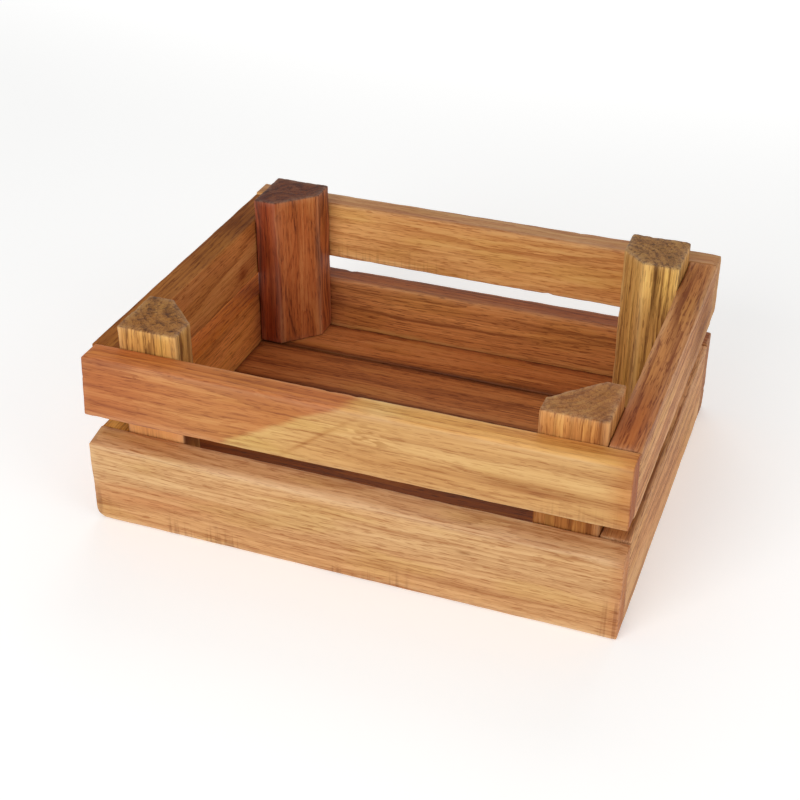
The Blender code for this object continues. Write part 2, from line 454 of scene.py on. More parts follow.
def timber_colour(finish, place, look, seed, tone):
    """Heartwood and sapwood by the tone of the grain, with the drifts of the oil."""
    colour = timber_ramp(finish, look["heart"], tone)
    if look["sap_line"]:
        pale = timber_ramp(finish, look["sap"], tone)
        colour = lay(finish, "MIX", sapwood(finish, place, look, seed), colour, pale)
    for waves, seed_step, edges, amount, tint in DRIFTS:
        drift = patches(finish, place, waves, seed + seed_step, edges)
        colour = lay(finish, "MULTIPLY", drift * amount, colour, tint)
    return colour


print("drifts of the oil:", len(DRIFTS))

# %% [markdown]
# ### Stains, painted light and painted shade
# The eye knows this crate by its stains, and the same soft ovals also carry painted light and painted
# shade. They could be painted on a picture, but a soft oval worked out from the place in the board needs
# no picture and stays sharp. There are four kinds: a smear follows the streaks of the grain, as a stain
# on most boards and as painted light and shade on a few; flecks break up into small specks; a flank
# lies on the sides of a post and not on its front, as painted shade; and the last kind covers the wood
# with an even colour instead of tinting it.

# %% Stains, painted light and painted shade
FLECK_WAVES = (75, 160, 230)
FLECK_EDGES = (0.50, 0.60)


def oval(finish, place, where):
    """A soft oval on the broad face: its centre, half length, half height and slope, in mm."""
    along, height, half_length, half_height, slope = where
    x, _, z = split(finish, place)
    aside = x - along * MM
    off = aside / (half_length * MM)
    rise = (z - height * MM - aside * slope) / (half_height * MM)
    return (-(off * off) - rise * rise).math("EXPONENT")


def lay_stains_and_painted_light(finish, place, look, seed, streak, colour):
    """Lay a board's stain marks, painted light and painted shade over its wood."""
    for kind, where, strength, tint in look["stains_and_painted_light"]:
        if kind == "flank":
            broken = mark(finish, "flank")
        elif kind == "flecks":
            broken = patches(finish, place, FLECK_WAVES, seed + 10, FLECK_EDGES)
        else:
            broken = streak + 0.5
        amount = oval(finish, place, where) * broken * strength
        colour = lay(finish, "MIX" if kind == "cover" else "MULTIPLY", amount, colour, tint)
    return colour


print("flecks are about", round(1 / FLECK_WAVES[0] / MM), "mm long")

# %% [markdown]
# ### Dark streaks and saw marks
# The posts show fine dark lines down the grain. On the slats the saw left ripples across the grain, in
# patches along their lower edges and strongest at an arris, a joiner's word for a sharp edge. Both could
# be modelled as grooves, but they are colour more than depth, so both are noise again: the lines are
# stretched along the grain, the ripples the other way.

# %% Dark streaks
DARK_WAVES = (9, 300, 300)
DARK_EDGES = (0.53, 0.66)
DARK_TINT = (0.40, 0.33, 0.25)
DARK_FADE = 25


def lay_dark_streaks(finish, place, look, seed, colour):
    """Fine dark lines, if the board has them, from a place along the grain onwards if it says where."""
    if not look["dark_streaks"]:
        return colour
    lines = patches(finish, place, DARK_WAVES, seed + 7, DARK_EDGES, 2.0)
    start = look["streaks_from"]
    if start is not None:
        along, _, _ = split(finish, place)
        lines = lines * step(finish, along, start * MM, (start + DARK_FADE) * MM)
    return lay(finish, "MULTIPLY", lines * look["dark_streaks"], colour, DARK_TINT)


print("dark lines are about", round(1 / DARK_WAVES[1] / MM, 1), "mm apart")

# %% Saw marks
SAW_WAVES = (380, 14, 10)
SAW_PATCH_WAVES = (13, 16, 16)
SAW_PATCH_EDGES = (0.46, 0.62)
SAW_HEIGHTS = (6 * MM, -8 * MM)
SAW_AT_EDGES = 0.3
SAW_DARKEST = 0.12
SAW_TINT = (0.62, 0.50, 0.40)


def saw_ripples(finish, place, seed, arris):
    """Ripples across the grain, in patches low on the board and strongest at its edges."""
    patch = patches(finish, place, SAW_PATCH_WAVES, seed + 8, SAW_PATCH_EDGES)
    _, _, height = split(finish, place)
    low_side = step(finish, height, *SAW_HEIGHTS)
    ripple = stretched_noise(finish, place, SAW_WAVES, seed + 9, 1.0) - 0.5
    return ripple * patch * low_side * arris ** SAW_AT_EDGES


def lay_saw_marks(finish, look, saw, colour):
    """Darken the wood in the saw's ripples."""
    return lay(finish, "MULTIPLY", step(finish, saw, 0.0, SAW_DARKEST) * look["saw"], colour, SAW_TINT)


print("saw marks are about", round(1 / SAW_WAVES[0] / MM, 1), "mm apart")

# %% [markdown]
# ### Edges and ends
# The top edges are tinted, partly by dirt and partly as painted light and shade, end grain drinks more
# oil, and hands have worn every arris pale, which also carries a painted highlight. A ledge in a wall's
# gap gets painted shade where the slat above covers it. A pointiness value could find the edges, but it
# changes with the density of the mesh, so the mesh itself says at each point how near an edge is.

# %% Edges, ends and ledges


def lay_edges(finish, place, look, colour):
    """Tint the top edge, partly as painted light and shade, and the ends, and paint shade on a ledge under
    the slat above.
    """
    top = mark(finish, "top_edge")
    # The top edge's tint is partly dirt and partly painted light and shade on the top.
    colour = lay(finish, "MULTIPLY", top, colour, look["top_tint_and_painted_light"])
    # Painted shade: the inner strip of a ledge that the slat above covers.
    if look["ledge_shade"]:
        outer, inner, unshaded_at, shaded_at, tint = look["ledge_shade"]
        along, across, _ = split(finish, place)
        deep = step(finish, across, outer * MM, inner * MM)
        near = step(finish, along, unshaded_at * MM, shaded_at * MM)
        colour = lay(finish, "MULTIPLY", top * deep * near, colour, tint)
    return lay(finish, "MULTIPLY", mark(finish, "end_face"), colour, look["end_tint"])


print("a plain top edge is tinted", PLAIN_LOOK["top_tint_and_painted_light"], "and an end", PLAIN_LOOK["end_tint"])

# %% Handling and painted highlights
RUB_AND_HIGHLIGHT_EDGES = (0.70, 1.20)
RUBBED_PALE_AND_HIGHLIGHT = (0.9, 0.75, 0.55)
SEAM_DIRT = (0.30, 0.22, 0.18)
BRAD_STAIN = (0.50, 0.42, 0.36)
BRAD_STAIN_STRENGTH = 0.3


def lay_handling_and_highlight(finish, look, grain, arris, colour):
    """Edges worn pale by rubbing, with a painted highlight, where the rub number is above 0, dirty where it
    is below, and a faint stain at brads.
    """
    if look["rub_and_highlight"] > 0:
        # Partly wear, partly painted highlight: a pale colour screened over the arris.
        rubbed_and_highlit = arris * step(finish, grain["streak"] + grain["fibre"], *RUB_AND_HIGHLIGHT_EDGES)
        colour = lay(finish, "SCREEN", rubbed_and_highlit * look["rub_and_highlight"], colour, RUBBED_PALE_AND_HIGHLIGHT)
    else:
        colour = lay(finish, "MULTIPLY", arris * -look["rub_and_highlight"], colour, SEAM_DIRT)
    return lay(finish, "MULTIPLY", mark(finish, "brad_stain") * BRAD_STAIN_STRENGTH, colour, BRAD_STAIN)


print("a plain board's edges are rubbed by", PLAIN_LOOK["rub_and_highlight"])

# %% [markdown]
# ### The finish as a whole
# The steps now go over each other in the order in which they happened to the wood: it grew, it was
# stained, sawn and handled, and painted light and shade lie among the stains, the edges and the
# handling. The same fibres, pores and ripples also give the surface its relief. Real displacement would
# need millions of faces for lines this fine, so a Bump node does it.

# %% The wood finish
FIBRE_RELIEF, SAW_RELIEF, PORE_RELIEF, LATE_RELIEF = 0.5, 2.0, 0.35, 0.2
RELIEF_STRENGTH = 0.45
RELIEF_DEPTH = 0.5 * MM
OILED_ROUGHNESS, FIBRE_ROUGHNESS, ARRIS_POLISH = 0.62, 0.25, 0.08


def wood_finish(name, look, seed):
    """Paint one board."""
    finish = Finish(name)
    place = finish.node("ShaderNodeTexCoord", {}, {}, "Object")
    arris = mark(finish, "arris")
    grain = grain_patterns(finish, place, look, seed)
    saw = saw_ripples(finish, place, seed, arris)
    colour = timber_colour(finish, place, look, seed, grain["tone"])
    colour = lay_stains_and_painted_light(finish, place, look, seed, grain["streak"], colour)
    colour = lay_dark_streaks(finish, place, look, seed, colour)
    colour = lay_saw_marks(finish, look, saw, colour)
    colour = lay_edges(finish, place, look, colour)
    colour = lay_handling_and_highlight(finish, look, grain, arris, colour)
    relief = grain["fibre"] * FIBRE_RELIEF + saw * look["saw"] * SAW_RELIEF
    relief = relief - grain["pores"] * PORE_RELIEF - grain["late"] * LATE_RELIEF
    sockets = {"Height": relief, "Strength": RELIEF_STRENGTH, "Distance": RELIEF_DEPTH}
    return finish.wear({
        "Base Color": colour,
        "Roughness": OILED_ROUGHNESS + (grain["fibre"] - 0.5) * FIBRE_ROUGHNESS - arris * ARRIS_POLISH,
        "Normal": finish.node("ShaderNodeBump", {}, sockets, "Normal"),
        "Specular IOR Level": look["gloss"],
    })


print("relief up to", round(RELIEF_DEPTH / MM, 1), "mm")

# %% [markdown]
# ## The shape of a sawn board
# A box with a bevel looks machine made. A sawn board has edges worn by handling, small chips, ends
# cut a little rough, and a face that is not quite flat. Each board is lofted along its grain from a
# rounded section. Round every brad there are extra rows of points, for the shallow dimple of its
# filled hole.

# %% Stops along an edge
BRAD_ROWS = tuple(offset * MM for offset in (-2.6, -2.1, -1.7, -1.2, -0.6, 0.0, 0.6, 1.2, 1.7, 2.1, 2.6))
CLOSEST_STOPS = 0.3 * MM


def stops_between(start, end, spacing, extras):
    """Even stops from start to end, with the extra ones put in and their near neighbours left out."""
    count = max(2, round((end - start) / spacing) + 1)
    inside = sorted({round(e, 6) for e in extras if start < e < end})
    even = np.linspace(start, end, count)
    kept = [s for s in even[1:-1] if all(abs(s - e) > CLOSEST_STOPS for e in inside)]
    return sorted([even[0], even[-1], *kept, *inside])


def around(places):
    """The extra stops for brads at these places."""
    return [place + row for place in places for row in BRAD_ROWS]


print("a brad adds", len(BRAD_ROWS), "stops in each direction")

# %% A rounded section
ARC_STEPS = 3


def rounded_section(corners, radius, spacing, extras):
    """Points, outward normals and distances to the nearest corner, round a convex section."""
    corners = [Vector(corner) for corner in corners]
    total = len(corners)
    runs = [corners[(i + 1) % total] - corners[i] for i in range(total)]
    along = [run.normalized() for run in runs]
    outward = [Vector((way.y, -way.x)) for way in along]
    setback = [radius * math.tan(along[i - 1].angle(along[i]) / 2) for i in range(total)]
    points, normals, gaps = [], [], []
    for i in range(total):
        start = setback[i]
        end = runs[i].length - setback[(i + 1) % total]
        for stop in stops_between(start, end, spacing, extras.get(i, ())):
            points.append(corners[i] + along[i] * stop)
            normals.append(outward[i])
            gaps.append(min(stop - start, end - stop))
        centre = corners[i] + along[i] * end - outward[i] * radius
        for part in range(1, ARC_STEPS):
            facing = outward[i].lerp(outward[(i + 1) % total], part / ARC_STEPS).normalized()
            points.append(centre + facing * radius)
            normals.append(facing)
            gaps.append(0.0)
    return np.array(points), np.array(normals), np.array(gaps)


print("each corner is rounded in", ARC_STEPS, "steps")

# %% [markdown]
# The loft walks along the grain. Blender can extrude a curve with a bevel, but a loft in code knows for
# every point which way it faces and how far it is from an edge, and the wear needs both. At both ends
# the section draws in round an arc, and then closes over the end face in rings, so that the end has
# points of its own to roughen.

# %% Rows along the grain


def loft_rows(length, radius, spacing, extras):
    """Each row's place along the grain, how far it is drawn in, and how far it faces the end."""
    half = length / 2
    turns = (math.pi / 2 * k / ARC_STEPS for k in range(1, ARC_STEPS + 1))
    arc = [(radius * math.sin(a), radius - radius * math.cos(a), math.sin(a)) for a in turns]
    rows = [(-half + radius - reach, inset, -facing) for reach, inset, facing in reversed(arc)]
    rows += [(x, 0.0, 0.0) for x in stops_between(-half + radius, half - radius, spacing, extras)]
    rows += [(half - radius + reach, inset, facing) for reach, inset, facing in arc]
    return rows


print("rows on a plain 100 mm stick:", len(loft_rows(100 * MM, MM, 5 * MM, ())))

# %% Sheets of points


def side_sheets(section, rows):
    """The section at every row, with its facings and its distances to the nearest edge."""
    ring, normals, gaps = section
    first, last = rows[0][0], rows[-1][0]
    sheets = []
    for x, inset, facing in rows:
        points = ring - normals * inset
        flat = math.sqrt(1 - facing * facing)
        near = np.minimum(gaps, min(x - first, last - x)) if not facing else gaps * 0
        sheets.append((x, points, np.full(len(ring), facing), normals * flat, near))
    return sheets


def cap_sheets(sheet, middle, cap_rings):
    """Rings that close an end face, from its edge to its middle."""
    x, edge, facing, normals, _ = sheet
    centre = middle(edge)
    caps = []
    for number in range(1, cap_rings + 1):
        drawn = number / cap_rings
        points = edge + (centre - edge) * drawn
        near = np.linalg.norm(centre - edge, axis=1) * drawn
        caps.append((x, points, np.sign(facing), normals * 0, near))
    return caps


print("a sheet holds a place along the grain, points, facings and distances to an edge")

# %% Loft a board


def quads(row_count, ring_count):
    """Faces between neighbouring rows of points."""
    faces = []
    for base in range(0, (row_count - 1) * ring_count, ring_count):
        for i in range(ring_count):
            after = (i + 1) % ring_count
            faces.append((base + i, base + after, base + ring_count + after, base + ring_count + i))
    return faces


def loft(section, rows, middle, cap_rings):
    """All the points of a board, row by row, with their facings and distances to the nearest edge."""
    sides = side_sheets(section, rows)
    first_cap = cap_sheets(sides[0], middle, cap_rings)
    last_cap = cap_sheets(sides[-1], middle, cap_rings)
    sheets = [*reversed(first_cap), *sides, *last_cap]
    places = np.concatenate([np.column_stack([np.full(len(p), x), p]) for x, p, *_ in sheets])
    facings = np.concatenate([np.column_stack([f, n]) for _, _, f, n, _ in sheets])
    nearness = np.concatenate([near for *_, near in sheets])
    return places, facings, nearness, quads(len(sheets), len(section[0]))


print("two rows of four points make", len(quads(2, 4)), "faces")

# %% [markdown]
# ## Wear
# Weathering moves every point a little along its normal. A Displace modifier could do that, but not more
# at the edges than on the faces. Noise that is long on the faces gives the saw's slow wobble, a finer one
# eats into the edges, and the ends are left rough. Only a few chips go deeper than half a millimetre, as
# on a board that has only been handled.

# %% Weather the points
FACE_WOBBLE, FACE_WAVES = 0.16 * MM, (9, 45, 45)
EDGE_WEAR, EDGE_WAVES, EDGE_BIAS = 0.35 * MM, (60, 60, 60), 0.35
CHIP_DEPTH, CHIP_WAVES, CHIP_LEVEL = 3.0 * MM, (95, 130, 130), 0.42
END_WAVES = (30, 330, 330)
ARRIS_REACH = 2.5 * MM
NOISE_STEPS = (1.37, 2.11, 0.73)


def noise_over(places, waves, seed):
    """Smooth noise from -1 to 1 at each place. Waves per metre along X, Y and Z."""
    shift = Vector([seed * part for part in NOISE_STEPS])
    scaled = places * np.array(waves)
    return np.array([noise.noise(Vector(p) + shift) for p in scaled])


def weather(places, facings, nearness, seed, end_rough):
    """Move the points, and say how near each one is to an edge."""
    arris = np.exp(-nearness / ARRIS_REACH)
    face = noise_over(places, FACE_WAVES, seed) * FACE_WOBBLE
    bite = np.clip(noise_over(places, EDGE_WAVES, seed + 1) + EDGE_BIAS, 0, None) * EDGE_WEAR
    chip = np.clip(noise_over(places, CHIP_WAVES, seed + 2) - CHIP_LEVEL, 0, None) * CHIP_DEPTH
    rough = noise_over(places, END_WAVES, seed + 3) * end_rough
    shift = face - arris * (bite + chip) + np.abs(facings[:, 0]) * rough
    return places + facings * shift[:, None], arris


print("wobble", FACE_WOBBLE / MM, "mm, edge wear", EDGE_WEAR / MM, "mm")

# %% [markdown]
# The brads were set half a millimetre deep and their holes filled, so each leaves only a shallow dimple
# and a faint stain. A Boolean could cut the dimples, but it would leave ragged faces, so the points near
# a brad are pressed in instead.

# %% Press in the filled holes
DIMPLE_DEPTH = 0.22 * MM
DIMPLE_RADIUS = 1.2 * MM
DIMPLE_RIM = 0.5 * MM
STAIN_REACH = 1.3 * MM


def dimple(places, facings, brads):
    """Press a shallow dimple over each brad, and say how near each point is to one."""
    stained = np.zeros(len(places))
    for head in brads:
        side = facings[:, 1] * np.sign(head.y) > 0.5
        reach = np.hypot(places[:, 0] - head.x, places[:, 2] - head.z)
        depth = np.clip((DIMPLE_RADIUS + DIMPLE_RIM - reach) / DIMPLE_RIM, 0, 1) * DIMPLE_DEPTH
        places[:, 1] -= np.where(side, depth * np.sign(head.y), 0)
        stained = np.maximum(stained, np.where(side, np.exp(-reach / STAIN_REACH), 0))
    return stained


print("dimples are", DIMPLE_DEPTH / MM, "mm deep")

# %% [markdown]
# Knocks have rounded the slats' corners, and a hand-held saw cut some edges out of square. Both are
# moves of the whole board's points, each by a simple rule, which keeps the faces smooth.

# %% Knocked corners and crooked cuts


def wear_corners(places, length, wide, worn):
    """Round the corners of a board's broad face, as knocks do. Radii in mm, by side along X and Z."""
    for (along, up), radius in worn.items():
        centre = np.array([along * (length / 2 - radius * MM), up * (wide / 2 - radius * MM)])
        out = places[:, [0, 2]] - centre
        corner = (out[:, 0] * along > 0) & (out[:, 1] * up > 0)
        reach = np.maximum(np.linalg.norm(out, axis=1), radius * MM)
        pulled = centre + out * (radius * MM / reach)[:, None]
        places[:, [0, 2]] = np.where(corner[:, None], pulled, places[:, [0, 2]])


def skew_edges(places, half_length, half_thick, half_wide, look):
    """Cut a board's top, bottom and left end a little out of square, as a hand-held saw does."""
    along, across, up = places.T / np.array([[half_length], [half_thick], [half_wide]])
    rise = np.interp(along, (-1, 1), look["lift"]) + look["bevel"] * across
    drop = np.interp(along, (-1, 1), look["sag"])
    places[:, 2] += (rise * np.clip(up, 0, 1) - drop * np.clip(-up, 0, 1)) * MM
    places[:, 0] += look["end_cut"] * MM * np.clip(-along, 0, 1) * np.clip((up + 1) / 2, 0, 1)


sharp = np.array([[50.0, 0.0, 10.0]]) * MM
knocked = sharp.copy()
wear_corners(knocked, 100 * MM, 20 * MM, {(1, 1): 3})
print("a 3 mm knock takes", round(np.linalg.norm(sharp - knocked) / MM, 2), "mm off a sharp corner")

# %% [markdown]
# ## From points to a piece of the crate
# Every board is worked out lying the same way, along X, so that one set of helpers fits all. The object
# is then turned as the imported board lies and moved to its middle. Turning the object and not its points
# keeps the grain's own directions, which the finish reads. The numbers for edges, ends and stains go
# along as attributes of the mesh.

# %% How the boards lie
SIDEWAYS = {
    "long": Matrix(((1, 0, 0), (0, 1, 0), (0, 0, 1))),
    "end": Matrix(((0, -1, 0), (1, 0, 0), (0, 0, 1))),
    "floor": Matrix(((1, 0, 0), (0, 0, -1), (0, 1, 0))),
    "post": Matrix(((0, 1, 0), (0, 0, 1), (1, 0, 0))),
}
print("boards lie as:", ", ".join(SIDEWAYS))

# %% Make the object
MERGE_DISTANCE = 0.002 * MM


def make_piece(name, places, faces, marks, lie, centre, material):
    """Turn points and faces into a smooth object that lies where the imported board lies."""
    mesh = bpy.data.meshes.new(name)
    mesh.from_pydata(places.tolist(), [], faces)
    for label, values in marks.items():
        mesh.attributes.new(label, "FLOAT", "POINT").data.foreach_set("value", values.astype(np.float32))
    shape = bmesh.new()
    shape.from_mesh(mesh)
    bmesh.ops.remove_doubles(shape, verts=shape.verts, dist=MERGE_DISTANCE)
    bmesh.ops.recalc_face_normals(shape, faces=shape.faces)
    shape.to_mesh(mesh)
    shape.free()
    mesh.shade_smooth()
    mesh.materials.append(material)
    piece = bpy.data.objects.new(name, mesh)
    bpy.context.scene.collection.objects.link(piece)
    piece.matrix_world = Matrix.Translation(centre) @ SIDEWAYS[lie].to_4x4()
    return piece


print("points closer than", MERGE_DISTANCE / MM, "mm are merged")


def attach(piece, node):
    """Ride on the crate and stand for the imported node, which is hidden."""
    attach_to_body(piece, "root")
    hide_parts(node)


# %% [markdown]
# ## Where the brads sit
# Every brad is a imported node, so its place needs no second list: its head is the end of its long axis
# that lies further out. The boards then know where to press in a dimple.

# %% Find the brad heads
brad_heads = []
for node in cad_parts:
    if node.startswith("brad_"):
        low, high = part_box(node)
        span = high - low
        axis = max(range(3), key=lambda k: span[k])
        head = (low + high) / 2
        head[axis] = high[axis] if head[axis] > 0 else low[axis]
        brad_heads.append(head)
print("brad heads:", len(brad_heads))

# %% Brads of one board


def heads_in(low, high, centre, lie):
    """Brad heads inside a board's box, in the board's own directions."""
    inside = [h for h in brad_heads if all(low[k] <= h[k] <= high[k] for k in range(3))]
    return [SIDEWAYS[lie].transposed() @ (h - centre) for h in inside]


front_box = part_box("slat_front_upper")
print("brads in the upper front slat:", len(heads_in(*front_box, sum(front_box, Vector()) / 2, "long")))

# %% [markdown]
# ## Slats and floor boards
# All of these are straight boards. Each could be modelled by hand, but one function can measure the
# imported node, loft the board, weather it and paint it, and then a board is one line and its look.

# %% Shape a straight board
END_RADIUS = 1.2 * MM
ALONG_SPACING = 5.0 * MM
ACROSS_SPACING = 2.6 * MM
END_ROUGH = 0.12 * MM
CAP_RINGS = 5


def shape_board(length, thick, wide, heads, look, seed):
    """Points, faces and marks of a weathered board, in its own directions."""
    rows_up = around(head.z + wide / 2 for head in heads)
    extras = {0: rows_up, 2: [wide - row for row in rows_up]}
    t, w = thick / 2, wide / 2
    corners = ((t, -w), (t, w), (-t, w), (-t, -w))
    section = rounded_section(corners, look["edge"] * MM, ACROSS_SPACING, extras)
    rows = loft_rows(length, END_RADIUS, ALONG_SPACING, around(head.x for head in heads))

    def middle(edge):
        """The line down the middle of the end face."""
        return np.column_stack([edge[:, 0] * 0, np.clip(edge[:, 1], t - w, w - t)])

    places, facings, nearness, faces = loft(section, rows, middle, CAP_RINGS)
    places, arris = weather(places, facings, nearness, seed, END_ROUGH)
    wear_corners(places, length, wide, look["worn_corners"])
    skew_edges(places, length / 2, t, w, look)
    marks = {
        "arris": arris, "end_face": np.abs(facings[:, 0]), "brad_stain": dimple(places, facings, heads),
        "top_edge": np.clip(facings[:, 2], 0, 1),
    }
    return places, faces, marks


print("points every", ALONG_SPACING / MM, "mm along a board and", ACROSS_SPACING / MM, "mm across it")

# %% Make a straight board


def make_board(node, lie, look, seed):
    """A weathered board in the place of a packed one."""
    look = {**PLAIN_LOOK, **look}
    low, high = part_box(node)
    centre = (low + high) / 2
    length, thick, wide = (abs(v) for v in SIDEWAYS[lie].transposed() @ (high - low))
    heads = heads_in(low, high, centre, lie)
    places, faces, marks = shape_board(length, thick, wide, heads, look, seed)
    material = wood_finish(f"{node}_wood", look, seed)
    piece = make_piece(f"{node}_timber", places, faces, marks, lie, centre, material)
    attach(piece, node)
    print(node, len(piece.data.polygons), "faces,", len(heads), "brads")


print("every board keeps its packed place, and gets a look and a seed")

# %% [markdown]
# The upper front slat is the eye-catcher: clay-red heartwood on the left gives way to straw sapwood
# along a slanting line. The line is a plane through the timber, so it also crosses the top edge. Flecks
# lie to the right of it, and long smears follow the grain. A strip along its top arris is painted darker,
# as painted shade over the light that the rounded edge catches.

# %% Upper front slat
make_board("slat_front_upper", "long", {
    "heart": "clay", "sap": "wheat", "sap_line": ((1, -0.75, -1.8), -40.7, 6), "saw": 0.3, "rub_and_highlight": 0.06,
    "fibre": 0.75, "pores": 0.20, "top_tint_and_painted_light": (1.44, 1.31, 0.92), "end_tint": (0.84, 0.55, 0.30),
    "edge": 2.6, "sag": (0.0, -0.9), "end_cut": 3.0,
    "worn_corners": {(-1, -1): 3, (-1, 1): 4, (1, -1): 3, (1, 1): 2.5},
    "stains_and_painted_light": (
        ("smear_and_light", (-21, -4.7, 26, 2.0, 0.76), 0.60, (0.70, 0.52, 0.36)),
        ("flecks", (20, 5.8, 20, 10, 0.10), 0.90, (0.62, 0.47, 0.32)),
        ("smear_and_light", (57, -8.2, 42, 2.2, 0.075), 0.45, (0.72, 0.56, 0.42)),
        ("smear_and_light", (140, -8.6, 45, 2.6, 0.0), 0.85, (0.60, 0.40, 0.28)),
        ("smear_and_light", (200, 0, 13, 80, 0.0), 0.90, (0.84, 0.60, 0.42)),
        ("smear_and_light", (-190, -5, 40, 30, 0.0), 0.50, (0.88, 0.72, 0.62)),
        ("smear_and_light", (-92, -2, 52, 34, 0.0), 0.80, (1.06, 1.24, 1.22)),
        ("smear_and_light", (27, 25.7, 14, 2.5, 0.0), 0.80, (1.05, 1.22, 1.60)),
        # Painted shade: a darker strip along the top arris.
        ("smear_and_light", (-40, 25.2, 110, 4.0, 0.0), 0.90, (0.87, 0.80, 0.78)),
    ),
}, 11)

# %% [markdown]
# The lower front slat is straw all along, with a pinkish streak at its lower left and one corner well
# rounded by knocks. Its top edge slopes a little, because it was ripped by hand. A faint painted
# highlight lies below its top arris, and painted shade lies along the arris, as on a ledge under a slat.

# %% Lower front slat
make_board("slat_front_lower", "long", {
    "heart": "straw", "pith": (60, -95), "ring": 4.0, "dash": 26, "banding": 0.5, "saw": 0.62, "rub_and_highlight": 0.12,
    "top_tint_and_painted_light": (1.20, 1.16, 1.20), "end_tint": (1.05, 0.92, 0.78),
    "edge": 2.4, "lift": (-0.3, -2.3), "bevel": 2.2,
    "worn_corners": {(-1, -1): 11, (-1, 1): 3, (1, -1): 3, (1, 1): 3},
    "stains_and_painted_light": (
        ("smear_and_light", (-140, 0, 75, 3.2, 0.05), 0.60, (0.86, 0.66, 0.56)),
        ("smear_and_light", (-150, -10, 60, 5, 0.04), 0.55, (0.88, 0.66, 0.56)),
        ("smear_and_light", (0, -15, 500, 14, 0.0), 0.70, (0.97, 0.86, 0.78)),
        ("smear_and_light", (-40, -32, 260, 10, 0.0), 0.75, (0.94, 0.80, 0.66)),
        # Painted highlight: a faintly paler band below the top arris.
        ("smear_and_light", (0, 21, 500, 9, 0.0), 0.80, (1.05, 1.07, 1.08)),
        # Painted shade along the top arris, here and on the left.
        ("smear_and_light", (80, 32, 110, 3.0, 0.0), 0.50, (0.84, 0.76, 0.68)),
        ("smear_and_light", (-140, 36, 100, 4.0, 0.0), 0.90, (0.80, 0.68, 0.56)),
        ("smear_and_light", (201, 0, 8, 80, 0.0), 0.90, (0.86, 0.62, 0.46)),
        ("smear_and_light", (90.4, 10.6, 5, 1.2, 0.0), 0.90, (0.50, 0.34, 0.22)),
    ),
}, 12)

# %% [markdown]
# The back wall shows its inner side: a golden upper slat, and a russet lower one in the shade. The
# upper one's lower edge and the lower one's upper edge run a little crooked, which shapes the gap.

# %% Back slats
make_board("slat_back_upper", "long", {
    "heart": "honey", "pith": (-90, -40), "saw": 0.35, "dash": 22, "top_tint_and_painted_light": (0.68, 0.62, 0.68),
    "sag": (-1.5, 1.0), "worn_corners": {(-1, -1): 3, (-1, 1): 3, (1, -1): 3, (1, 1): 4},
    "stains_and_painted_light": (
        ("smear_and_light", (150, 0, 70, 60, 0.0), 0.8, (0.92, 0.81, 0.70)),
        # Painted light: the left end is lightened where the back left post shades it.
        ("smear_and_light", (-125, 2, 42, 24, 0.0), 0.8, (1.15, 1.24, 1.35)),
    ),
}, 13)
make_board("slat_back_lower", "long", {
    "heart": "rust", "pith": (-60, 60), "ring": 4.5, "saw": 0.3, "top_tint_and_painted_light": (0.58, 0.43, 0.35),
    "lift": (1.2, 2.2), "worn_corners": {(-1, -1): 4, (-1, 1): 3, (1, -1): 3, (1, 1): 3},
    "stains_and_painted_light": (
        ("smear_and_light", (0, -13, 260, 7, 0.0), 0.5, (0.74, 0.58, 0.46)),
        ("smear_and_light", (-10, 13, 120, 3, 0.01), 0.6, (1.12, 1.18, 1.16)),
        ("smear_and_light", (-25, 16, 55, 14, 0.0), 0.7, (1.22, 1.36, 1.50)),
        ("smear_and_light", (-142, 19, 30, 24, 0.0), 0.8, (0.66, 0.55, 0.72)),
    ),
}, 14)

# %% [markdown]
# The end slats are shorter and fit between the long ones, so their ends hardly show and their edges
# are less worn. The left wall is brown: only its inner side is seen. Its lower slat carries painted light
# and a painted shadow of the back left post, and the front end of its top edge is painted pale, like
# light in the gap.

# %% Left slats
make_board("slat_left_upper", "end", {
    "heart": "umber", "pith": (80, 30), "edge": 1.1, "saw": 0.3, "rub_and_highlight": 0.0, "gloss": 0.06,
    "lift": (-2.2, -2.2), "sag": (0.7, 0.7), "top_tint_and_painted_light": (0.64, 0.60, 0.42),
    "stains_and_painted_light": (
        ("smear_and_light", (62, -13.4, 10, 7, 0.0), 0.8, (0.50, 0.30, 0.24)),
        ("smear_and_light", (54, 11.6, 17, 10, 0.0), 0.9, (1.35, 1.50, 1.50)),
        ("smear_and_light", (10, 25.6, 18, 3.0, 0.0), 0.8, (0.68, 0.55, 0.55)),
        ("smear_and_light", (76, 25.6, 32, 3.0, 0.0), 1.0, (0.35, 0.22, 0.14)),
    ),
}, 15)
make_board("slat_left_lower", "end", {
    "heart": "ember", "pith": (-75, 45), "edge": 1.1, "saw": 0.3, "rub_and_highlight": 0.0, "gloss": 0.08,
    "top_tint_and_painted_light": (0.82, 0.64, 0.42),
    "stains_and_painted_light": (
        # Painted light, then a painted shadow of the back left post, along the slat.
        ("smear_and_light", (28, 13, 32, 22, 0.0), 0.8, (1.15, 1.20, 1.40)),
        ("smear_and_light", (90, 9, 14, 40, 0.0), 0.8, (0.60, 0.45, 0.60)),
        # Painted light: the front end of the top edge is painted pale, like light in the gap.
        ("smear_and_light", (-125, 36, 30, 4.0, 0.0), 1.0, (1.25, 2.10, 3.00)),
    ),
}, 16)

# %% [markdown]
# The right wall is a pinkish tan that turns brown at the back. The front part of its top edge is
# redder, and the ledge in its gap is painted paler, with painted shade on the strip under the upper slat.

